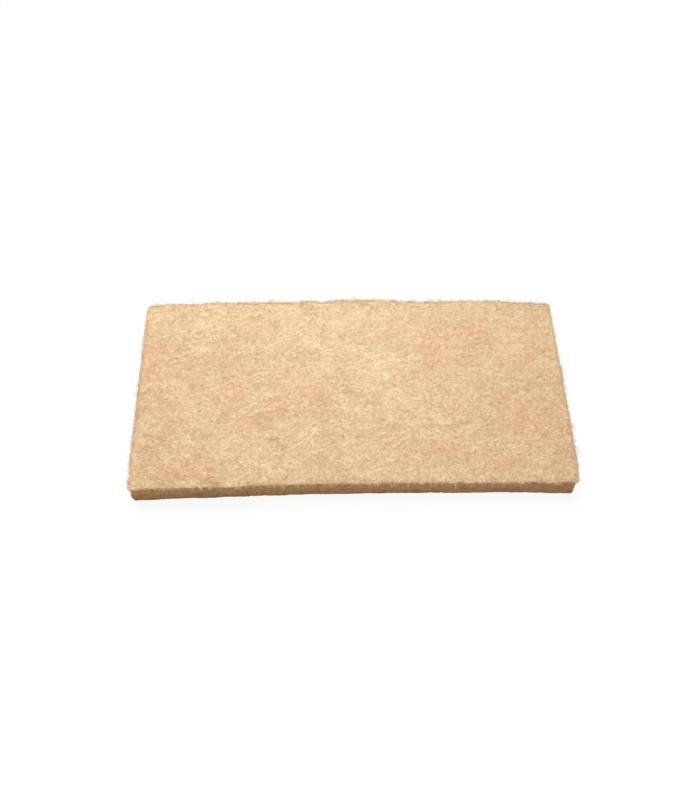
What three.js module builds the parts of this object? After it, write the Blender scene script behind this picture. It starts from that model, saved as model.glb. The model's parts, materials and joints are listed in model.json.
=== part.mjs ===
// Hand cleaning pad, die-cut from a lofty nonwoven web of crimped, resin-bonded fibres.
//
// The pad is one block with nothing inside or on it, so it is one mesh: a grid makes the upper
// face, rings make the flank, and one flat polygon closes the base. Every point starts on the
// plain block with its rounded corners and edges, is bent into the bowed outline of the cut
// piece, and is then sunk into the web, because the tufts reach the block and the hollows
// between them do not.
//
// Millimetres, +Z up. The origin is the centre of the base. X runs along the long side, which
// is also the way most of the fibres lie, and +Y points to the far long edge.

import * as THREE from "three";
import { ImprovedNoise } from "three/addons/math/ImprovedNoise.js";

// The block.
const padLength = 250;
const padWidth = 123;
const padThickness = 19;

// How the cut corners and edges are rounded, seen from above and in section.
const cornerRadius = 2.4;
const upperEdgeRadius = 1.6;
const baseEdgeRadius = 1.2;

// The die squeezes the web as it cuts, and the flank springs back hollow, most of all just under
// the upper edge, which overhangs it.
const flankHollow = 1.1;

// How far the middle of an edge stands from the straight line between its two corners. Both
// long edges bend towards the far side, and both short edges bend outwards.
const nearEdgeBow = 1.8;
const farEdgeBow = 2.6;
const shortEdgeBow = 0.7;

// The web is thicker in some places than in others: broad swells, with tufts on top of them.
const swellDepth = 0.8;
const swellSize = new THREE.Vector3(46, 27, 30);
const tuftDepth = 1.4;
const tuftSize = new THREE.Vector3(11, 7, 5.5);

// How finely the form is drawn.
const cellSize = 3.2;
const cornerSteps = 3;
const baseEdgeSteps = 2;
const upperEdgeSteps = 3;
const flankSteps = 4;

// The corner arcs are struck from the corners of this core.
const coreCorner = new THREE.Vector2(padLength / 2 - cornerRadius, padWidth / 2 - cornerRadius);

const webNoise = new ImprovedNoise();

// How deep a point lies under the tips of lumps of this size and depth.
function hollow(point, lumpSize, depth) {
  const at = point.clone().divide(lumpSize);
  return (depth * (1 - webNoise.noise(at.x, at.y, at.z))) / 2;
}

// Grid lines across one side of the block: a few close ones round each corner, and lines about
// a cell apart between them.
function gridLines(side) {
  const half = side / 2;
  const core = half - cornerRadius;
  const cells = Math.max(1, Math.round((2 * core) / cellSize));
  const between = Array.from({ length: cells + 1 }, (_, n) => -core + (2 * core * n) / cells);
  const corner = Array.from({ length: cornerSteps }, (_, n) => half - (cornerRadius * n) / cornerSteps);
  return [...corner.map((value) => -value), ...between, ...corner.reverse()];
}

// The outer points of the grid as pairs of column and row, anticlockwise from above.
function gridRim(lastColumn, lastRow) {
  const rim = [];
  for (let column = 0; column < lastColumn; column += 1) rim.push([column, 0]);
  for (let row = 0; row < lastRow; row += 1) rim.push([lastColumn, row]);
  for (let column = lastColumn; column > 0; column -= 1) rim.push([column, lastRow]);
  for (let row = lastRow; row > 0; row -= 1) rim.push([0, row]);
  return rim;
}

// The flank in section, from the base up: how far in from the outline each step lies, how high,
// and the angle above the horizontal at which the web's surface faces there.
function flankSection() {
  const section = [];
  for (let n = 0; n < baseEdgeSteps; n += 1) {
    const angle = (-Math.PI / 2) * (1 - n / baseEdgeSteps);
    const inset = baseEdgeRadius * (1 - Math.cos(angle));
    section.push({ inset, height: baseEdgeRadius * (1 + Math.sin(angle)), angle });
  }
  const flankHeight = padThickness - baseEdgeRadius - upperEdgeRadius;
  for (let n = 0; n <= flankSteps; n += 1) {
    const share = n / flankSteps;
    const inset = flankHollow * Math.sin(Math.PI * share * share);
    section.push({ inset, height: baseEdgeRadius + flankHeight * share, angle: 0 });
  }
  for (let n = 1; n <= upperEdgeSteps; n += 1) {
    const angle = ((Math.PI / 2) * n) / upperEdgeSteps;
    const inset = upperEdgeRadius * (1 - Math.cos(angle));
    section.push({ inset, height: padThickness - upperEdgeRadius * (1 - Math.sin(angle)), angle });
  }
  return section;
}

// Bends a point of the straight block into the bowed outline.
function bowed(point) {
  const along = (2 * point.x) / padLength;
  const across = (2 * point.y) / padWidth;
  const towardsFar = (across + 1) / 2;
  const bow = THREE.MathUtils.lerp(nearEdgeBow, farEdgeBow, towardsFar);
  point.x -= shortEdgeBow * along * across * across;
  point.y += bow * (1 - along * along) - farEdgeBow * towardsFar;
  return point;
}

// The web's surface over a point of the grid, at one step of the section. Inside the core the
// inset changes nothing, and on the rim it is taken in full.
function surfacePoint(u, v, step) {
  const place = new THREE.Vector2(u, v).clamp(coreCorner.clone().negate(), coreCorner);
  const facing = new THREE.Vector2(u, v).sub(place);
  const share = Math.max(Math.abs(facing.x), Math.abs(facing.y)) / cornerRadius;
  facing.normalize();
  place.addScaledVector(facing, share * (cornerRadius - step.inset));

  const point = bowed(new THREE.Vector3(place.x, place.y, step.height));
  const level = Math.cos(step.angle);
  const outward = new THREE.Vector3(facing.x * level, facing.y * level, Math.max(0, Math.sin(step.angle)));
  const depth = hollow(point, swellSize, swellDepth) + hollow(point, tuftSize, tuftDepth);
  return point.addScaledVector(outward, -depth);
}

function padGeometry() {
  const columns = gridLines(padLength);
  const rows = gridLines(padWidth);
  const rim = gridRim(columns.length - 1, rows.length - 1);
  const flank = flankSection();
  const upperStep = flank.pop();

  const points = [];
  for (const step of flank) {
    for (const [column, row] of rim) points.push(surfacePoint(columns[column], rows[row], step));
  }
  const faceStart = points.length;
  for (const v of rows) {
    for (const u of columns) points.push(surfacePoint(u, v, upperStep));
  }

  const triangles = [];
  const addQuad = (a, b, c, d) => triangles.push(a, b, c, a, c, d);
  const facePoint = (column, row) => faceStart + row * columns.length + column;

  // The flank, whose last ring is the rim of the upper face.
  const rings = flank.map((_, level) => rim.map((_, n) => level * rim.length + n));
  rings.push(rim.map(([column, row]) => facePoint(column, row)));
  for (let level = 1; level < rings.length; level += 1) {
    const low = rings[level - 1];
    const high = rings[level];
    for (let n = 0; n < rim.length; n += 1) {
      const next = (n + 1) % rim.length;
      addQuad(low[n], low[next], high[next], high[n]);
    }
  }

  // The upper face.
  for (let row = 1; row < rows.length; row += 1) {
    for (let column = 1; column < columns.length; column += 1) {
      addQuad(
        facePoint(column - 1, row - 1),
        facePoint(column, row - 1),
        facePoint(column, row),
        facePoint(column - 1, row),
      );
    }
  }

  // The base, a flat polygon that faces down.
  const baseOutline = rings[0].map((n) => new THREE.Vector2(points[n].x, points[n].y));
  for (const [a, b, c] of THREE.ShapeUtils.triangulateShape(baseOutline, [])) triangles.push(c, b, a);

  const geometry = new THREE.BufferGeometry().setFromPoints(points);
  geometry.setIndex(triangles);
  geometry.computeVertexNormals();
  geometry.computeBoundingBox();
  const middle = geometry.boundingBox.getCenter(new THREE.Vector3());
  return geometry.translate(-middle.x, -middle.y, -geometry.boundingBox.min.z);
}

// Undyed beige polyester fibre with a thin, matt binder.
const fibreWeb = new THREE.MeshStandardMaterial({
  name: "fibre_web",
  color: new THREE.Color().setRGB(0.9, 0.765, 0.61, THREE.SRGBColorSpace),
  roughness: 0.95,
  metalness: 0,
});

const pad = new THREE.Mesh(padGeometry(), fibreWeb);
pad.name = "cleaning_pad";

const part = new THREE.Group();
part.add(pad);

export default part;
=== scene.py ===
# %% [markdown]
# # A hand cleaning pad of bonded fibres
#
# The pad is one block cut from a lofty nonwoven web: crimped polyester fibres, laid at random
# and held where they cross by a little resin. From a step away it is a soft, mottled beige
# slab. Close up it is nothing but fibres. This lesson builds it in that order: the slab first,
# then its colour and fine relief, and then the fibres that cover it and stick out of its cut
# edges.
#
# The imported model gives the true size, so it is loaded first and every place is taken from it.

# %% Load the frame
import json
import math

import bmesh
import bpy
import numpy as np
from mathutils import Matrix, Vector, noise
from mathutils.bvhtree import BVHTree
from mathutils.kdtree import KDTree

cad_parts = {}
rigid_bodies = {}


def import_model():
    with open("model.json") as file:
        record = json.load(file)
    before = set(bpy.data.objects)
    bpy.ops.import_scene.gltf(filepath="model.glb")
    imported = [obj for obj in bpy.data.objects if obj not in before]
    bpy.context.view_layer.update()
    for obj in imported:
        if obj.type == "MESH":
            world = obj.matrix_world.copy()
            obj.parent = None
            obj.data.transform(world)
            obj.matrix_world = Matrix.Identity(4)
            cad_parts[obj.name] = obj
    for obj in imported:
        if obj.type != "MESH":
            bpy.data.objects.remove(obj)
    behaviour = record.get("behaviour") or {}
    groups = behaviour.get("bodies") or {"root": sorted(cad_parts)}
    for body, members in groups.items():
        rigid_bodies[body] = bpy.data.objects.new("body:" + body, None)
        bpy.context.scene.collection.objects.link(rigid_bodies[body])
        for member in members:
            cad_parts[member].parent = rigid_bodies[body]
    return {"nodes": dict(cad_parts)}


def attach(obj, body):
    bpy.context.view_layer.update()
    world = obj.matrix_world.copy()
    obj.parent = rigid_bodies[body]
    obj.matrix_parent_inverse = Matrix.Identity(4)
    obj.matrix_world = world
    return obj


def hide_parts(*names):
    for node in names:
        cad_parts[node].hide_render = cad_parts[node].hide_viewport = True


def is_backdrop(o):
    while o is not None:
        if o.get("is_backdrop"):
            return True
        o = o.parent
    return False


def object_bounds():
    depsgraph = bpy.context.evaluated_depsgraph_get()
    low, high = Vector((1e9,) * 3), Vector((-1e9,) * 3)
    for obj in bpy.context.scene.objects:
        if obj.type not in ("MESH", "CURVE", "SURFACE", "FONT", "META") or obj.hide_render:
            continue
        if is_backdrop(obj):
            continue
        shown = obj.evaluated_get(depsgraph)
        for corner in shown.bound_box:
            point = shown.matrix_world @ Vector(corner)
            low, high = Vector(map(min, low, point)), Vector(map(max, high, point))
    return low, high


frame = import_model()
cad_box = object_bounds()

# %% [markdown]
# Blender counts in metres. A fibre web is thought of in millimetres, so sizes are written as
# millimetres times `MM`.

MM = 0.001
low_corner, high_corner = cad_box
pad_size = high_corner - low_corner
print("pad size in mm:", [round(side / MM, 1) for side in pad_size])

# %% [markdown]
# ## The camera
#
# The photograph looks down on the pad from the front. A camera can be set by eye, but here it
# was fitted to the pad's outline, which gives seven numbers: how strongly it magnifies, how
# high and from which side it looks, how it leans, how far away it stands, and how far the
# middle of the picture lies from the middle of the pad, across and up. Building the camera
# from those numbers keeps each one readable.

# %% Camera
picture_width_px = 695
focal_length_px = 696.4
sensor_width_mm = 36

camera_elevation = math.radians(63.95)
camera_yaw = math.radians(5.02)
camera_roll = math.radians(3.83)
camera_distance = 401.5 * MM
aim_right = 2.85 * MM
aim_up = 8.23 * MM


def place_camera():
    """Makes the camera that looks at the middle of the pad's upper face."""
    across = Vector((math.cos(camera_yaw), -math.sin(camera_yaw), 0))
    ahead_level = Vector((math.sin(camera_yaw), math.cos(camera_yaw), 0))
    down = Vector((0, 0, -1))
    ahead = ahead_level * math.cos(camera_elevation) + down * math.sin(camera_elevation)
    upright = across.cross(ahead)
    place = Vector((0, 0, high_corner.z)) - across * aim_right - upright * aim_up
    place -= ahead * camera_distance

    lean = Matrix.Rotation(camera_roll, 3, "Z")
    turn = Matrix((across, upright, -ahead)).transposed() @ lean
    data = bpy.data.cameras.new("camera")
    data.sensor_fit = "HORIZONTAL"
    data.sensor_width = sensor_width_mm
    data.lens = sensor_width_mm * focal_length_px / picture_width_px
    data.clip_start = 0.01
    camera = bpy.data.objects.new("camera", data)
    camera.matrix_world = Matrix.Translation(place) @ turn.to_4x4()
    bpy.context.scene.collection.objects.link(camera)
    bpy.context.scene.camera = camera
    return camera


camera = place_camera()
print("camera at", [round(value, 3) for value in camera.matrix_world.translation])

# %% [markdown]
# ## The slab
#
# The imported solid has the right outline, thickness and broad relief, but its faces are 3 mm
# wide, too large to carry tufts. Subdividing it would keep its long thin triangles on the
# base, so its copy is remeshed instead: a voxel remesh gives even squares everywhere, and even
# squares can be moved without tearing. Voxels turn slightly sloping faces into low stairs,
# which a shrinkwrap to the solid takes out again.

# %% Remesh a copy of the solid
voxel = 1.0 * MM
same_point = 0.001 * MM


def link_new(name, mesh):
    """Puts a mesh in the scene as an object at the origin."""
    piece = bpy.data.objects.new(name, mesh)
    bpy.context.scene.collection.objects.link(piece)
    return piece


def remeshed_copy(node, name):
    """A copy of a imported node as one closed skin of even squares."""
    work = bmesh.new()
    work.from_mesh(frame["nodes"][node].data)
    bmesh.ops.remove_doubles(work, verts=work.verts, dist=same_point)
    bmesh.ops.recalc_face_normals(work, faces=work.faces)
    rough = bpy.data.meshes.new(name + "_rough")
    work.to_mesh(rough)
    work.free()
    piece = link_new(name, rough)
    remesh = piece.modifiers.new("Remesh", "REMESH")
    remesh.mode = "VOXEL"
    remesh.voxel_size = voxel
    wrap = piece.modifiers.new("Shrinkwrap", "SHRINKWRAP")
    wrap.wrap_method = "NEAREST_SURFACEPOINT"
    wrap.target = frame["nodes"][node]
    depsgraph = bpy.context.evaluated_depsgraph_get()
    skin = bpy.data.meshes.new_from_object(piece.evaluated_get(depsgraph))
    piece.modifiers.clear()
    piece.data = skin
    bpy.data.meshes.remove(rough)
    skin.name = name
    return piece


pad_body = remeshed_copy("cleaning_pad", "pad_body")
print("pad_body:", len(pad_body.data.polygons), "squares")

# %% [markdown]
# ## A soft upper rim
#
# The pad's upper edge is soft, because the fibres spread there once they are cut. A Bevel would
# need a sharp edge to start from, and the web has none. Instead each point near the rim is
# moved half the way to the middle of its neighbours, again and again, which is what
# `smooth_vert` does. That draws the rim in, so the points are pushed out again afterwards,
# less the further they lie from it.

# %% Soften the rim
edge_facing = (0.3, 0.85)
rim_reach = 4.5 * MM
rim_rounds = 10
rim_swell = 0.5 * MM


def near_rim(vertices):
    """The vertices close to the rounded upper edge, and how far each one lies from it."""
    least, most = edge_facing
    upper = [vertex for vertex in vertices if vertex.co.z > high_corner.z / 2]
    edge = [vertex for vertex in upper if least < vertex.normal.z < most]
    tree = KDTree(len(edge))
    for number, vertex in enumerate(edge):
        tree.insert(vertex.co, number)
    tree.balance()
    away = [(vertex, tree.find(vertex.co)[2]) for vertex in upper]
    return [(vertex, distance) for vertex, distance in away if distance < rim_reach]


def soften_rim(piece):
    """Rounds the upper edge off, keeps the outline, and says how many points were near it."""
    work = bmesh.new()
    work.from_mesh(piece.data)
    near = near_rim(work.verts)
    level = Vector((1, 1, 0))
    pushes = [vertex.normal * level * rim_swell * (1 - away / rim_reach) for vertex, away in near]
    for _ in range(rim_rounds):
        bmesh.ops.smooth_vert(
            work,
            verts=[vertex for vertex, _ in near],
            factor=0.5,
            use_axis_x=True,
            use_axis_y=True,
            use_axis_z=True,
        )
    for (vertex, _), push in zip(near, pushes):
        vertex.co += push
    work.to_mesh(piece.data)
    work.free()
    piece.data.update()
    return len(near)


print("softened", soften_rim(pad_body), "points of the rim")

# %% [markdown]
# ## Tufts
#
# A web of crimped fibre is never smooth: small tufts stand up where several fibres cross, and
# pinholes go down between them. A Displace modifier could push the skin about, but it would
# also push the base through the table, and the cut flanks need other relief than the faces.
# So each point is moved by a short formula: noise says how deep it sinks, always inwards, and
# the depth fades out towards the flat base. The flanks are first pushed out by what they will
# sink on average. The upper rim sinks a little more at the back, because there the web has
# frayed into loose fibres. The surface from before the sinking is kept as a search tree,
# because the fibres will run over it.

# %% Sink the pinholes
skin_depth = 0.45 * MM
tuft_size = Vector((3.4, 1.9, 2.4))
tuft_depth = 0.5 * MM
pinhole_size = Vector((2.2, 1.4, 1.7))
pinhole_depth = 1.0 * MM
base_fade = 1.5 * MM
flank_swell = 0.35 * MM
frayed_depth = 0.45 * MM

# What counts as rim: how far up the skin faces where it begins and ends, and its height as a
# share of the pad's. Then what counts as the sides and as the back, by how far back it faces.
rim_begins, rim_ends = (0.1, 0.4), (0.8, 0.97)
rim_height = (0.6, 0.8)
side_facing, back_facing = (-0.6, -0.1), (0, 0.5)
frayed_front = 0.3


def web_noise(place, size, seed):
    """Smooth noise from about -1 to 1 at a place in metres, with lumps of a size in mm."""
    at = Vector((place.x / size.x, place.y / size.y, place.z / size.z)) / MM
    return noise.noise(at + Vector((seed, 1.7 * seed, 2.3 * seed)))


def ramp(values, low, high):
    """Zero below low, one above high, and an even slope with soft ends between them."""
    share = np.clip((values - low) / (high - low), 0, 1)
    return share * share * (3 - 2 * share)


def rim_share(places, normals):
    """One on the rounded upper rim, and nothing on the faces and the flanks."""
    share = ramp(normals[:, 2], *rim_begins) * (1 - ramp(normals[:, 2], *rim_ends))
    return share * ramp(places[:, 2] / high_corner.z, *rim_height)


def frayed_share(places, normals):
    """How frayed the rim is: a little at the front, and fully at the sides and the back."""
    beside = ramp(normals[:, 1], *side_facing)
    return rim_share(places, normals) * (frayed_front + (1 - frayed_front) * beside)


def sink_pinholes(piece, places, normals):
    """Moves each point of the skin inwards, most between the tufts and not at all on the base."""
    mesh = piece.data
    moved = np.empty((len(mesh.vertices), 3))
    frayed = frayed_depth * rim_share(places, normals) * ramp(normals[:, 1], *back_facing)
    for vertex in mesh.vertices:
        tuft = 0.5 - 0.5 * web_noise(vertex.co, tuft_size, seed=3.0)
        pinhole = max(0.0, web_noise(vertex.co, pinhole_size, seed=11.0))
        fade = min(1.0, vertex.co.z / base_fade)
        depth = skin_depth * max(0.0, vertex.normal.z) + tuft_depth * tuft + pinhole_depth * pinhole
        outward = Vector((vertex.normal.x, vertex.normal.y, 0)) * flank_swell
        depth += frayed[vertex.index]
        moved[vertex.index] = vertex.co + outward - vertex.normal * depth * fade
    mesh.vertices.foreach_set("co", moved.ravel())
    mesh.update()


web_surface = BVHTree.FromObject(pad_body, bpy.context.evaluated_depsgraph_get())
smooth_points = np.array([vertex.co for vertex in pad_body.data.vertices])
smooth_normals = np.array([vertex.normal for vertex in pad_body.data.vertices])
sink_pinholes(pad_body, smooth_points, smooth_normals)
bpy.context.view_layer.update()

# %% [markdown]
# ## Tone of the web
#
# The dye takes unevenly: there are creamy and peach-coloured clouds, and lighter and darker
# clumps within them. The skin and the fibres on it have to agree about this, so the tone is
# worked out here once, as two numbers for any place, and stored on each mesh as attributes
# that the materials read. `shade` says how light the web is and `blush` how pink; on the cut
# flanks and on some fibres `shade` also carries painted light and shade. The body gets two
# more: `cut` marks the flanks, which take a darker palette of painted shade, and `frayed` the
# rim, made pale partly by its loose fibres and partly by painted light.

# %% Tone at a place
# Each layer: the size of its lumps in mm, how much it adds, and its seed.
shade_layers = [
    (Vector((70, 48, 60)), 0.14, 1.0),
    (Vector((21, 13, 16)), 0.14, 2.0),
    (Vector((7, 4.2, 5)), 0.2, 4.0),
    (Vector((2.6, 1.5, 2)), 0.34, 5.0),
]
blush_layers = [
    (Vector((64, 40, 50)), 0.34, 6.0),
    (Vector((17, 11, 14)), 0.40, 7.0),
    (Vector((5.5, 3.6, 4)), 0.24, 8.0),
]

# Clouds that stand out on this pad: place along and across it, length and width, then how much
# each one adds to the shade and to the blush. All places and sizes are in mm.
clouds = [
    ((-22, -9), (10, 7), -0.24, 0.50),
    ((-29, -19), (6, 6), -0.14, 0.10),
    ((50, -40), (14, 6), -0.20, 0.36),
    ((112, -36), (11, 11), -0.20, 0.10),
    ((-96, -50), (18, 8), -0.12, 0.05),
    ((-58, 40), (13, 8), -0.10, 0.40),
    ((-70, 4), (8, 13), 0.05, 0.38),
    ((99, -14), (16, 7), -0.08, 0.34),
    ((47, 24), (10, 16), 0.04, 0.36),
    ((16, 9), (18, 18), 0.18, -0.34),
    ((42, -20), (16, 14), 0.08, -0.30),
    ((-30, 34), (46, 22), 0.06, -0.42),
    ((-24, -30), (10, 16), 0.08, -0.30),
    ((8, 48), (60, 12), 0.10, -0.10),
    ((4, -46), (46, 12), 0.12, 0.0),
    ((-100, 46), (28, 14), 0.04, -0.28),
    ((98, 44), (24, 14), 0.08, 0.0),
    ((5, -14), (48, 40), 0.19, 0.0),
    ((122, 0), (26, 60), -0.07, 0.05),
]


def cloud_share(place, middle, size):
    """One in the middle of a cloud, fading to nothing outside it."""
    along = (place.x / MM - middle[0]) / size[0]
    across = (place.y / MM - middle[1]) / size[1]
    return math.exp(-along * along - across * across)


def tones_at(places):
    """The shade and the blush at each of many places, as two arrays from 0 to 1."""
    shade, blush = np.full(len(places), 0.5), np.full(len(places), 0.5)
    for number, place in enumerate(places):
        shade[number] += sum(share * web_noise(place, size, seed) for size, share, seed in shade_layers)
        blush[number] += sum(share * web_noise(place, size, seed) for size, share, seed in blush_layers)
        for middle, size, more_shade, more_blush in clouds:
            share = cloud_share(place, middle, size)
            shade[number] += share * more_shade
            blush[number] += share * more_blush
    return np.clip(shade, 0, 1), np.clip(blush, 0, 1)


def store_tones(mesh, **tones):
    """Writes tones on a mesh's points, each under its own name."""
    for name, values in tones.items():
        stored = mesh.attributes.new(name, "FLOAT", "POINT")
        stored.data.foreach_set("value", np.asarray(values, np.float32))


# Painted light and shade on the cut: lighter at the upper rim, where light catches it, and
# darker down to the foot, where shade falls.
cut_facing = (0.3, 0.75)
flank_painted_light = 0.45
foot_painted_shade = -1.4
foot_curve = 1.5
streak_size = Vector((2.0, 2.0, 14))
streak_share = 0.3


def painted_shade_to_foot(heights, shift, painted_foot_shift):
    """The painted shade at these heights: the first shift at the rim, and the foot's shift as well at the
    foot.
    """
    depth = (1 - heights / high_corner.z).clip(0, 1)
    return shift + painted_foot_shift * depth ** foot_curve


def body_tones(mesh):
    """The four tones of the body's skin."""
    places = [vertex.co for vertex in mesh.vertices]
    shade, blush = tones_at(places)
    cut = 1 - ramp(np.abs(smooth_normals[:, 2]), *cut_facing)
    streaks = np.array([web_noise(place, streak_size, seed=14.0) for place in places])
    # On the cut: painted light and shade by height, and the streaks of the web.
    shade += cut * (painted_shade_to_foot(smooth_points[:, 2], flank_painted_light, foot_painted_shade) + streak_share * streaks)
    frayed = frayed_share(smooth_points, smooth_normals)
    return {"shade": np.clip(shade, 0, 1), "blush": blush, "cut": cut, "frayed": frayed}


body_tone = body_tones(pad_body.data)
store_tones(pad_body.data, **body_tone)
for name, values in body_tone.items():
    print(name, values.mean().round(2), "spread", values.std().round(2))

# %% [markdown]
# ## Shader maths as plain expressions
#
# Wiring Math nodes by hand hides the formula. The small class below wraps one output socket
# and adds the node that each operator stands for, so `1 - gap * 0.5` can be written as it is
# read. Every other node comes from `Material.node`. Colours are given as they are seen, from 0
# to 255, and shaders want the amount of light, so `srgb` converts them.

# %% A socket that can be added up
class Wire:
    """An output socket of a material, with arithmetic."""

    def __init__(self, material, socket):
        self.material = material
        self.socket = socket

    def maths(self, operation, *others):
        node = self.material.node("ShaderNodeMath", {"operation": operation}, self, *others)
        return Wire(self.material, node.outputs[0])

    def fade(self, low, high):
        """One up to low, zero from high on, and a soft slope between them."""
        soft = {"interpolation_type": "SMOOTHSTEP"}
        return self.material.wire("ShaderNodeMapRange", soft, self, low, high, 1.0, 0.0)

    def __add__(self, other):
        return self.maths("ADD", other)

    def __mul__(self, other):
        return self.maths("MULTIPLY", other)

    def __sub__(self, other):
        return self.maths("SUBTRACT", other)

    def __rsub__(self, other):
        return (self * -1) + other

    __radd__ = __add__
    __rmul__ = __mul__


class Material:
    """A new material with one Principled shader, and ways to add nodes to it."""

    def __init__(self, name):
        self.data = bpy.data.materials.new(name)
        self.data.use_nodes = True
        self.tree = self.data.node_tree
        self.shader = self.tree.nodes["Principled BSDF"]

    def node(self, kind, settings, *values, **named):
        """Adds a node, sets it up, and fills its inputs with numbers or wires."""
        node = self.tree.nodes.new(kind)
        for setting, value in settings.items():
            setattr(node, setting, value)
        for socket, value in [*zip(node.inputs, values), *self.by_name(node, named)]:
            self.fill(socket, value)
        return node

    def by_name(self, node, named):
        return [(node.inputs[name.replace("_", " ")], value) for name, value in named.items()]

    def fill(self, socket, value):
        if isinstance(value, Wire):
            self.tree.links.new(value.socket, socket)
        else:
            socket.default_value = value

    def wire(self, kind, settings, *values, output=0, **named):
        """As node, but gives one of its outputs."""
        return Wire(self, self.node(kind, settings, *values, **named).outputs[output])

    def attribute(self, name):
        return self.wire("ShaderNodeAttribute", {"attribute_name": name}, output="Fac")

    def blend(self, share, first, second):
        """A colour between two others."""
        node = self.node("ShaderNodeMix", {"data_type": "RGBA"})
        for socket, value in zip((node.inputs[0], node.inputs[6], node.inputs[7]), (share, first, second)):
            self.fill(socket, value)
        return Wire(self, node.outputs[2])


def srgb(red, green, blue):
    """A colour as written from 0 to 255, as the linear numbers that shaders use."""
    shares = [value / 255 for value in (red, green, blue)]
    linear = [s / 12.92 if s <= 0.04045 else ((s + 0.055) / 1.055) ** 2.4 for s in shares]
    return (*linear, 1)


print("half white, as light:", round(srgb(128, 128, 128)[0], 3))

# %% [markdown]
# ## Strands in the skin
#
# Between the modelled fibres one sees more fibres, deeper down. They are too fine and too many
# to model, so the skin's material draws them. The trick is the contour line: where smooth
# noise crosses one half it leaves a thin line that curls and loops like a crimped fibre. Five
# such layers, each stretched and turned another way, make a tangle, and where lines cross the
# higher one is seen. The lines are high and painted lighter, and what lies between them is low
# and darkened as painted shade.

# %% Material of the skin
cream = srgb(253, 236, 196)
peach = srgb(253, 221, 187)
# The dark end of the tones, and the painted shade of the gaps and of deep fibres.
tone_and_shade_brown = srgb(210, 161, 110)
pit_shade_brown = srgb(162, 116, 76)
# The cut's colours are the face's in painted shade: the flanks are darker because less light falls on
# them.
cut_shade_gold = srgb(248, 212, 142)
cut_shade_russet = srgb(248, 188, 152)
cut_shade_brown = srgb(172, 124, 82)
# The frayed rim's pale colour: partly its loose fibres, partly painted light where the rim slopes away
# from the lamp.
frayed_pale_and_lit = srgb(252, 238, 216)

# How much of the colour comes from the tones, the rest being painted light and shade by height,
# and how much the pits' painted shade and the frayed rim cover.
tone_share = 0.4
pit_shade_cover = 0.44
frayed_cover = 0.85

# Each layer: loop size along and across its own run in mm, its turn, and half a line's width.
strand_layers = [
    ((2.3, 0.95), 0.1, 0.06),
    ((1.9, 0.9), 0.8, 0.055),
    ((2.0, 0.9), -0.7, 0.055),
    ((3.0, 1.2), 0.3, 0.05),
    ((1.4, 0.9), 1.9, 0.06),
]


def noise_texture(material, place, size, turn, shift=(0, 0, 0), **settings):
    """Smooth noise from 0 to 1 with lumps of a size in metres, turned about the upright."""
    at = material.wire("ShaderNodeMapping", {"vector_type": "TEXTURE"}, place, shift, (0, 0, turn), size)
    return material.wire("ShaderNodeTexNoise", {"normalize": True}, Vector=at, Scale=1.0, **settings)


def strands(material, place):
    """How high the tangle of strands stands, from 0 in the gaps to 1 on the crests."""
    top = None
    for number, ((along, across), turn, width) in enumerate(strand_layers):
        size = (along * MM, across * MM, across * MM)
        shift = (0.013 * number, 0.007 * number, 0.004 * number)
        loops = noise_texture(material, place, size, turn, shift, Detail=1.0)
        height = 0.5 + 0.25 * (number % 3)
        line = (loops - 0.5).maths("ABSOLUTE").fade(0.0, width) * height
        top = line if top is None else top.maths("MAXIMUM", line)
    return top


def web_colour(material, lift):
    """Tones with painted shade where lift is low and on the cut, and a partly painted pale rim."""
    blush = material.attribute("blush")
    light = material.attribute("shade") * tone_share + lift * (1 - tone_share)
    light = light.maths("MINIMUM", 1.0)
    face = material.blend(light, tone_and_shade_brown, material.blend(blush, cream, peach))
    # The cut flanks take the palette of painted shade.
    flank = material.blend(light, cut_shade_brown, material.blend(blush, cut_shade_gold, cut_shade_russet))
    web = material.blend(material.attribute("cut"), face, flank)
    # The frayed rim is made pale, partly as painted light.
    return material.blend(material.attribute("frayed") * frayed_cover, web, frayed_pale_and_lit)


def skin_material():
    material = Material("fibre_skin")
    place = material.wire("ShaderNodeTexCoord", {}, output="Object")
    crests = strands(material, place)
    clump_size = (1.5 * MM, 1.0 * MM, 1.0 * MM)
    clumps = noise_texture(material, place, clump_size, 0.1, Detail=2.0, Roughness=0.6)
    # The pits get painted shade.
    pit_shade = clumps.fade(0.36, 0.5) * (1 - crests)
    colour = web_colour(material, crests * 0.6 + clumps * 0.8)
    colour = material.blend(pit_shade * pit_shade_cover, colour, pit_shade_brown)
    material.fill(material.shader.inputs["Base Color"], colour)
    height = crests * 0.8 + clumps
    bump = material.wire("ShaderNodeBump", {}, Strength=0.85, Distance=0.5 * MM, Height=height)
    material.fill(material.shader.inputs["Normal"], bump)
    material.shader.inputs["Roughness"].default_value = 0.9
    material.shader.inputs["Specular IOR Level"].default_value = 0.15
    return material.data


pad_body.data.materials.append(skin_material())
for polygon in pad_body.data.polygons:
    polygon.use_smooth = True
print("skin material nodes:", len(pad_body.data.materials[0].node_tree.nodes))

# %% [markdown]
# ## Growing fibres
#
# A modelled fibre is a curve with a thin three-sided section. Hair systems would grow them
# too, but their strands aren't part of the mesh and can't be told apart. Here each fibre walks
# over the skin in short steps: it leans a little to one side for a while, then to the other,
# and after each step it is set back on the skin. A slow wave lifts it above the skin and takes
# it under again, so that the fibres seem to pass over and under each other.

# %% Walk over the skin
rng = np.random.default_rng(20)
grain_pull = 0.38
curl_kept, curl_added = 0.75, 0.6
wave_pace = (0.5, 1.1)


def unit(vectors):
    return vectors / np.maximum(np.linalg.norm(vectors, axis=1, keepdims=True), 1e-12)


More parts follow.
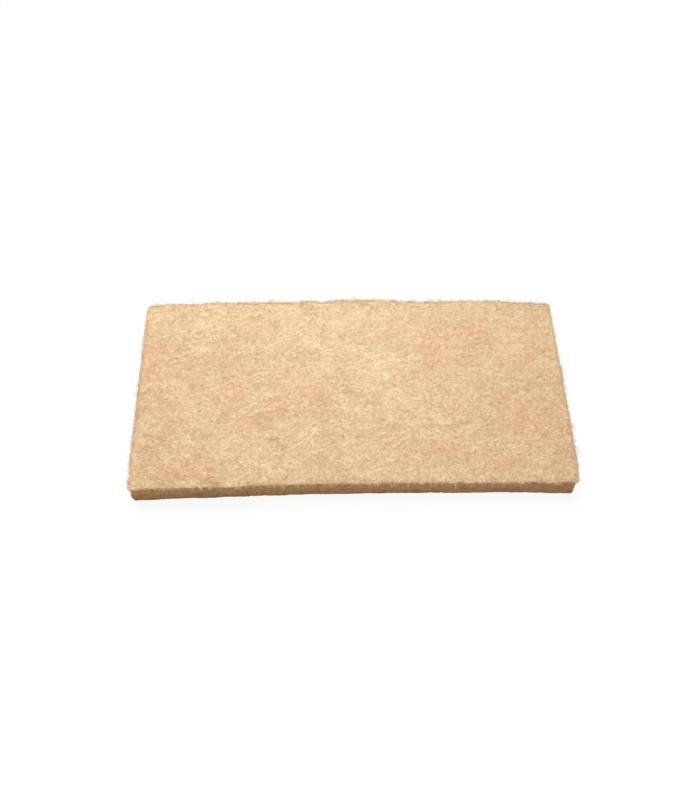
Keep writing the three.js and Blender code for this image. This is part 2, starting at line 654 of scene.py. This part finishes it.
def skin_points(count, wanted):
    """Random places on the skin, spread by area, where wanted says yes to place and normal."""
    mesh = pad_body.data
    mesh.calc_loop_triangles()
    corners = np.empty(len(mesh.loop_triangles) * 3, np.int32)
    mesh.loop_triangles.foreach_get("vertices", corners)
    a, b, c = smooth_points[corners.reshape(-1, 3)].transpose(1, 0, 2)
    facing = np.cross(b - a, c - a)
    area = np.linalg.norm(facing, axis=1)
    normals = unit(facing)
    area *= wanted((a + b + c) / 3, normals)
    chosen = rng.choice(len(area), count, p=area / area.sum())
    s, t = rng.random(count), rng.random(count)
    over = s + t > 1
    s[over], t[over] = 1 - s[over], 1 - t[over]
    places = a[chosen] + s[:, None] * (b - a)[chosen] + t[:, None] * (c - a)[chosen]
    return places, normals[chosen]


def on_skin(places):
    """The nearest places on the skin and its normals there."""
    found = [web_surface.find_nearest(place) for place in places]
    return np.array([hit[0] for hit in found]), np.array([hit[1] for hit in found])


def turned(vectors, axes, angles):
    """Vectors turned about unit axes that stand square to them."""
    cos, sin = np.cos(angles)[:, None], np.sin(angles)[:, None]
    return vectors * cos + np.cross(axes, vectors) * sin


def walk(count, wanted, grain, steps, step, curl, wave):
    """Paths of fibres over the part of the skin where wanted holds, and how far each one runs.

    They start along the grain more often than across it. The wave is how low and how high they
    lie, measured from the skin.
    """
    place, normal = skin_points(count, wanted)
    side = unit(np.cross(normal, grain))
    ahead = unit(np.cross(side, normal))
    spread = rng.uniform(0, 2 * math.pi, count)
    spread -= grain_pull * np.sin(2 * spread)
    ahead = turned(ahead, normal, spread)
    bend = rng.normal(0, curl, count)
    phase, pace = rng.uniform(0, 2 * math.pi, count), rng.uniform(*wave_pace, count)
    low, high = wave
    path, running = [], np.full(count, steps + 1)
    for number in range(steps + 1):
        swing = 0.5 + 0.5 * np.sin(phase + pace * number)
        path.append(place + normal * (low + (high - low) * swing)[:, None])
        bend = curl_kept * bend + rng.normal(0, curl_added * curl, count)
        ahead = turned(ahead, normal, bend)
        there, facing = on_skin(place + ahead * step)
        off = ~wanted(there, facing) & (running > number + 2)
        running[off] = number + 2
        stays = (running > number + 1)[:, None]
        place = np.where(stays, there, place + ahead * step)
        normal = np.where(stays, facing, normal)
        ahead = unit(ahead - normal * np.sum(ahead * normal, axis=1, keepdims=True))
    return np.stack(path, 1), running


# These and the two for the rim, further down, say where fibres may grow.
def faces_up(places, normals):
    return normals[:, 2] > 0.88


def faces_out(places, normals):
    return np.abs(normals[:, 2]) <= 0.75


def faces_down(places, normals):
    return normals[:, 2] < -0.55


# %% [markdown]
# A poly curve with a bevel makes the tube, and its fill caps close the ends. The bevel is a
# triangle, because a fibre thinner than a tenth of a millimetre needs no more sides, and there
# are thousands of them. The curve is made a mesh at the end, so that each fibre can carry its
# own tone and its own little patch of the map that the colours are baked through.

# %% Fibres from paths
tip_share = 0.55
patch_radius, map_margin = 0.01, 0.02
shade_spread, blush_spread = 0.22, 0.06


def triangle_section(radius):
    """A closed triangular curve that the fibres take as their section."""
    data = bpy.data.curves.new("fibre_section", "CURVE")
    data.dimensions = "2D"
    spline = data.splines.new("POLY")
    spline.points.add(2)
    for number, point in enumerate(spline.points):
        angle = number * 2 * math.pi / 3
        point.co = (radius * math.cos(angle), radius * math.sin(angle), 0, 1)
    spline.use_cyclic_u = True
    return link_new("fibre_section", data)


def fibre_mesh(name, paths, running, radius):
    """One mesh of closed tubes along the paths, pointed at both ends."""
    section = triangle_section(radius)
    data = bpy.data.curves.new(name, "CURVE")
    data.dimensions = "3D"
    data.bevel_mode = "OBJECT"
    data.bevel_object = section
    data.use_fill_caps = True
    for path, length in zip(paths, running):
        spline = data.splines.new("POLY")
        spline.points.add(int(length) - 1)
        flat = np.ones((length, 4), np.float32)
        flat[:, :3] = path[:length]
        spline.points.foreach_set("co", flat.ravel())
        ends = np.ones(length, np.float32)
        ends[[0, -1]] = tip_share
        spline.points.foreach_set("radius", ends)
        spline.use_smooth = True
    curve = link_new(name + "_curve", data)
    depsgraph = bpy.context.evaluated_depsgraph_get()
    mesh = bpy.data.meshes.new_from_object(curve.evaluated_get(depsgraph))
    for used in (curve, section):
        bpy.data.objects.remove(used)
    mesh.name = name
    return mesh


def fibre_of_each_vertex(running):
    """Which fibre each vertex belongs to: the caps come first, from the last fibre to the first."""
    fibres = np.arange(len(running))
    return np.concatenate([np.repeat(fibres[::-1], 6), np.repeat(fibres, 3 * running)])


def lay_map(mesh, shade, blush):
    """Gives each fibre a small patch of the map, at its own two tones."""
    number = np.arange(len(mesh.vertices))
    angle = 2 * math.pi / 3 * (number % 3) + math.pi / 3 * ((number // 3) % 2)
    patch = patch_radius * np.stack([np.cos(angle), np.sin(angle)], 1)
    patch += map_margin + (1 - 2 * map_margin) * np.stack([shade, blush], 1)
    vertex = np.empty(len(mesh.loops), np.int32)
    mesh.loops.foreach_get("vertex_index", vertex)
    mesh.uv_layers.remove(mesh.uv_layers[0])
    layer = mesh.uv_layers.new(name="OFBake")
    layer.uv.foreach_set("vector", patch[vertex].astype(np.float32).ravel())


def weld(mesh):
    """Joins the caps to their tubes."""
    work = bmesh.new()
    work.from_mesh(mesh)
    bmesh.ops.remove_doubles(work, verts=work.verts, dist=same_point / 10)
    work.to_mesh(mesh)
    work.free()


def fibre_piece(name, paths, running, radius, material, painted_light_shift=0.0, painted_foot_shift=0.0):
    """A finished piece of fibres with its tones, its map and its material.

    Fibres with fewer than three points are left out, and none reaches below the base.
    """
    long_enough = running > 2
    paths, running = paths[long_enough], running[long_enough]
    paths[:, :, 2] = np.maximum(paths[:, :, 2], low_corner.z + 1.1 * radius)
    mesh = fibre_mesh(name, paths, running, radius)
    middles = [Vector(path[length // 2]) for path, length in zip(paths, running)]
    shade, blush = tones_at(middles)
    heights = np.array([middle.z for middle in middles])
    # The shifts are painted light and shade: one for the whole piece, and one growing towards the foot.
    shade += painted_shade_to_foot(heights, painted_light_shift, painted_foot_shift) + rng.normal(0, shade_spread, len(shade))
    fibre = fibre_of_each_vertex(running)
    shade = np.clip(shade, 0, 1)[fibre]
    blush = np.clip(blush + rng.normal(0, blush_spread, len(blush)), 0, 1)[fibre]
    store_tones(mesh, shade=shade, blush=blush)
    lay_map(mesh, shade, blush)
    weld(mesh)
    mesh.materials.append(material)
    piece = link_new(name, mesh)
    mesh.calc_loop_triangles()
    print(name, len(running), "fibres,", len(mesh.loop_triangles), "triangles")
    return piece


# %% [markdown]
# ## Material of the fibres
#
# Each fibre has one tone along its length. The colour runs between three colours, as on the
# skin, but fibres lie higher and catch more light, so their colour, painted with that light,
# never gets quite as dark. There are three sorts: those on the faces, a copy in painted shade
# for the cut, and the pale ones of the frayed rim, pale partly by painted light.

# %% Fibre material
def fibre_material(name, least_light, dark, yellowish, pinkish):
    material = Material(name)
    shade = material.attribute("shade")
    surface = material.blend(material.attribute("blush"), yellowish, pinkish)
    light = (shade * (1 - least_light) + least_light).maths("MINIMUM", 1.0)
    material.fill(material.shader.inputs["Base Color"], material.blend(light, dark, surface))
    material.shader.inputs["Roughness"].default_value = 0.6
    material.shader.inputs["Specular IOR Level"].default_value = 0.3
    return material.data


fibres_lit = fibre_material("fibre_lit", 0.4, tone_and_shade_brown, cream, peach)
# The cut's fibres are a copy of the lit ones in painted shade.
fibres_cut_shaded = fibre_material("fibre_cut_shaded", 0.2, cut_shade_brown, cut_shade_gold, cut_shade_russet)
# The rim's pale fibres are lightened partly as painted light.
fuzz_pale_and_lit = fibre_material("fuzz_pale_and_lit", 0.4, srgb(212, 180, 144), srgb(253, 239, 212), srgb(252, 230, 205))
print("fibre materials:", [material.name for material in (fibres_lit, fibres_cut_shaded, fuzz_pale_and_lit)])

# %% [markdown]
# ## Fibres on the two faces
#
# The web was laid lengthwise, so more fibres run along the pad than across it. The upper face
# gets three pieces: one deep in the skin, one that dips in and out of it, and thinner fibres
# that are raised above the others. The lower face is pressed flat, and its fibres lie straight.

# %% Upper and lower face
lengthwise = np.array([1.0, 0.0, 0.0])

# The deep fibres get a little painted shade, and the raised ones a little painted light.
deep, skin_deep, high = (-0.9 * MM, 0.0), (-0.5 * MM, 0.2 * MM), (-0.3 * MM, 0.6 * MM)
paths, running = walk(3100, faces_up, lengthwise, steps=8, step=0.95 * MM, curl=0.55, wave=deep)
deep_fibres = fibre_piece("deep_fibres", paths, running, 0.078 * MM, fibres_lit, -0.1)

paths, running = walk(3100, faces_up, lengthwise, steps=8, step=0.95 * MM, curl=0.6, wave=skin_deep)
upper_fibres = fibre_piece("upper_fibres", paths, running, 0.072 * MM, fibres_lit)

paths, running = walk(2700, faces_up, lengthwise, steps=8, step=0.88 * MM, curl=0.65, wave=high)
raised_fibres = fibre_piece("raised_fibres", paths, running, 0.055 * MM, fibres_lit, 0.1)

pressed = (-0.1 * MM, 0.0)
paths, running = walk(1500, faces_down, lengthwise, steps=5, step=2.0 * MM, curl=0.45, wave=pressed)
lower_fibres = fibre_piece("lower_fibres", paths, running, 0.08 * MM, fibres_lit)

# %% [markdown]
# ## Fibres on the cut flanks
#
# The die cut straight through the web, so the flanks show the fibres' ends. Short fibres stand
# across the cut, mostly up and down, because the squeeze of the die dragged them that way.

# %% Flanks
upright_grain = np.array([0.0, 0.0, 1.0])

in_the_cut = (-0.7 * MM, 0.3 * MM)
paths, running = walk(3500, faces_out, upright_grain, steps=4, step=1.25 * MM, curl=0.4, wave=in_the_cut)
# The flank's fibres take the cut's painted shade, which grows towards the foot.
flank_fibres = fibre_piece("flank_fibres", paths, running, 0.07 * MM, fibres_cut_shaded, flank_painted_light, foot_painted_shade)

# %% [markdown]
# ## Fuzz
#
# Cut ends stick out all round, and make the pad's edges look soft against the background. They
# are free curves: they start in the skin, point outwards, and wander in all directions. They
# come in tufts, so noise says where they are long, and they get shorter towards the foot. On
# the rim they are pale at the back and at the two ends, partly as painted light, and some lie
# along it there, which gives the pad its pale border.

# %% Fuzz on the flanks and round the rim
fuzz_tuft_size = Vector((2.6, 2.6, 3.5))
fuzz_root = 0.6 * MM
fuzz_at_foot = 0.35
rim_from = 0.75
back_from = -0.25


def stray(count, wanted, steps, step, wander, outward):
    """Paths that start on the skin where wanted holds and wander off into the air.

    The larger outward is, the more of them start straight away from the skin.
    """
    place, normal = skin_points(count, wanted)
    ahead = unit(normal * outward + rng.normal(0, 1, (count, 3)))
    tufts = np.array([[web_noise(Vector(start), fuzz_tuft_size, seed=21.0)] for start in place])
    stride = step * rng.uniform(0.5, 1.25, (count, 1)) * np.clip(0.85 + 1.3 * tufts, 0.3, 1.7)
    stride *= fuzz_at_foot + (1 - fuzz_at_foot) * place[:, 2:] / high_corner.z
    path = [place - normal * fuzz_root]
    for _ in range(steps):
        path.append(path[-1] + ahead * stride)
        ahead = unit(ahead + rng.normal(0, wander, (count, 3)))
    return np.stack(path, 1), np.full(count, steps + 1)


def upper_rim(places, normals):
    high = places[:, 2] > rim_from * high_corner.z
    return high & (normals[:, 2] > 0.2) & (normals[:, 2] < 0.95)


def frayed_rim(places, normals):
    return upper_rim(places, normals) & (normals[:, 1] > back_from)


def front_rim(places, normals):
    return upper_rim(places, normals) & (normals[:, 1] <= back_from)


# The flank's fuzz takes the same painted shade.
paths, running = stray(5200, faces_out, steps=3, step=1.1 * MM, wander=0.4, outward=1.3)
flank_fuzz = fibre_piece("flank_fuzz", paths, running, 0.06 * MM, fibres_cut_shaded, flank_painted_light, foot_painted_shade)

# The rim's fibres and fuzz get a little painted light.
on_the_rim = (-0.4 * MM, 0.3 * MM)
paths, running = walk(1400, frayed_rim, lengthwise, steps=4, step=0.8 * MM, curl=0.5, wave=on_the_rim)
rim_fibres = fibre_piece("rim_fibres", paths, running, 0.07 * MM, fuzz_pale_and_lit, 0.1)

paths, running = stray(4300, frayed_rim, steps=3, step=1.0 * MM, wander=0.4, outward=1.0)
rim_fuzz = fibre_piece("rim_fuzz", paths, running, 0.06 * MM, fuzz_pale_and_lit, 0.1)

paths, running = stray(2400, front_rim, steps=3, step=0.8 * MM, wander=0.4, outward=0.8)
front_rim_fuzz = fibre_piece("front_rim_fuzz", paths, running, 0.06 * MM, fibres_lit, 0.1)

# %% [markdown]
# ## Floor
#
# The pad lies on a white sheet. Its flanks are dark in the photograph because little light
# came from below, so the floor sends little light back to the pad, while the camera sees it
# white: Light Path tells the two kinds of ray apart. Most of that white is a glow of the
# floor's own. Near the pad a small share of it is reflected light instead, which the pad can
# keep off, and that is its shadow.

# %% Floor
floor_side = 6.0
floor_grey = 0.35
shadow_share = 0.11
shadow_reach = (0.16, 0.5)


def floor_material():
    material = Material("white_sheet")
    seen = material.wire("ShaderNodeLightPath", {}, output="Is Camera Ray")
    glossy = material.wire("ShaderNodeLightPath", {}, output="Is Glossy Ray")
    through = material.wire("ShaderNodeLightPath", {}, output="Is Transmission Ray")
    direct = seen.maths("MAXIMUM", glossy).maths("MAXIMUM", through)
    place = material.wire("ShaderNodeTexCoord", {}, output="Object")
    reach = material.wire("ShaderNodeVectorMath", {"operation": "LENGTH"}, place, output="Value")
    near = reach.fade(*shadow_reach)
    grey = floor_grey + direct * (near * shadow_share - floor_grey)
    material.fill(material.shader.inputs["Base Color"], grey)
    material.shader.inputs["Roughness"].default_value = 1.0
    material.shader.inputs["Specular IOR Level"].default_value = 0.0
    glow = direct * (1 - near * shadow_share)
    colour = material.blend(glow, (0, 0, 0, 1), (1, 1, 1, 1))
    material.fill(material.shader.inputs["Emission Color"], colour)
    material.shader.inputs["Emission Strength"].default_value = 1.0
    return material.data


def lay_floor():
    work = bmesh.new()
    bmesh.ops.create_grid(work, x_segments=1, y_segments=1, size=floor_side / 2)
    mesh = bpy.data.meshes.new("floor")
    work.to_mesh(mesh)
    work.free()
    mesh.materials.append(floor_material())
    return link_new("floor", mesh)


floor = lay_floor()
floor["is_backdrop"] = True
print("floor:", round(floor_side, 1), "m wide, with shadow up to", shadow_reach[1], "m from the pad")

# %% [markdown]
# ## Light
#
# One wide lamp stands overhead, a little behind the pad, so the upper face is light and the
# front flank lies in shade. A weak one in front keeps that shade readable, and an even sky
# fills in from everywhere.

# %% Light
sky_level = 0.48


def hang_lamp(name, place, side, power):
    """A square lamp that faces the pad."""
    data = bpy.data.lights.new(name, "AREA")
    data.shape = "SQUARE"
    data.size = side
    data.energy = power
    lamp = bpy.data.objects.new(name, data)
    turn = (-place).to_track_quat("-Z", "Y").to_matrix().to_4x4()
    lamp.matrix_world = Matrix.Translation(place) @ turn
    bpy.context.scene.collection.objects.link(lamp)
    return lamp


def light_sky():
    """An even sky that lights softly, and is white where the camera sees it."""
    world = bpy.data.worlds.new("sky")
    world.use_nodes = True
    bpy.context.scene.world = world
    tree = world.node_tree
    background = tree.nodes["Background"]
    path = tree.nodes.new("ShaderNodeLightPath")
    level = tree.nodes.new("ShaderNodeMapRange")
    level.inputs["To Min"].default_value = sky_level
    level.inputs["To Max"].default_value = 1.0
    tree.links.new(path.outputs["Is Camera Ray"], level.inputs["Value"])
    tree.links.new(level.outputs[0], background.inputs["Strength"])
    background.inputs["Color"].default_value = (1, 1, 1, 1)


overhead_lamp = hang_lamp("overhead_lamp", Vector((-0.10, 0.27, 0.52)), side=0.45, power=4.25)
front_fill = hang_lamp("front_fill", Vector((0.1, -0.7, 0.4)), side=0.5, power=1.3)
light_sky()
for lamp in (overhead_lamp, front_fill):
    print(lamp.name, round(lamp.data.energy, 2), "W")
bpy.context.scene.view_settings.view_transform = "Standard"

# %% [markdown]
# ## Riding on the body
#
# Every piece moves with the pad's one body. The skin stands for the imported solid, which is hidden.

# %% Ride and replace
face_fibres = (deep_fibres, upper_fibres, raised_fibres, lower_fibres)
edge_fibres = (flank_fibres, flank_fuzz, rim_fibres, rim_fuzz, front_rim_fuzz)
for piece in (pad_body, *face_fibres, *edge_fibres):
    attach(piece, "root")
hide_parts("cleaning_pad")

made_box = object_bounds()
boxes = {"cad": [list(corner) for corner in cad_box], "made": [list(corner) for corner in made_box]}
for name, box in boxes.items():
    print(name, [[round(value / MM, 2) for value in corner] for corner in box])
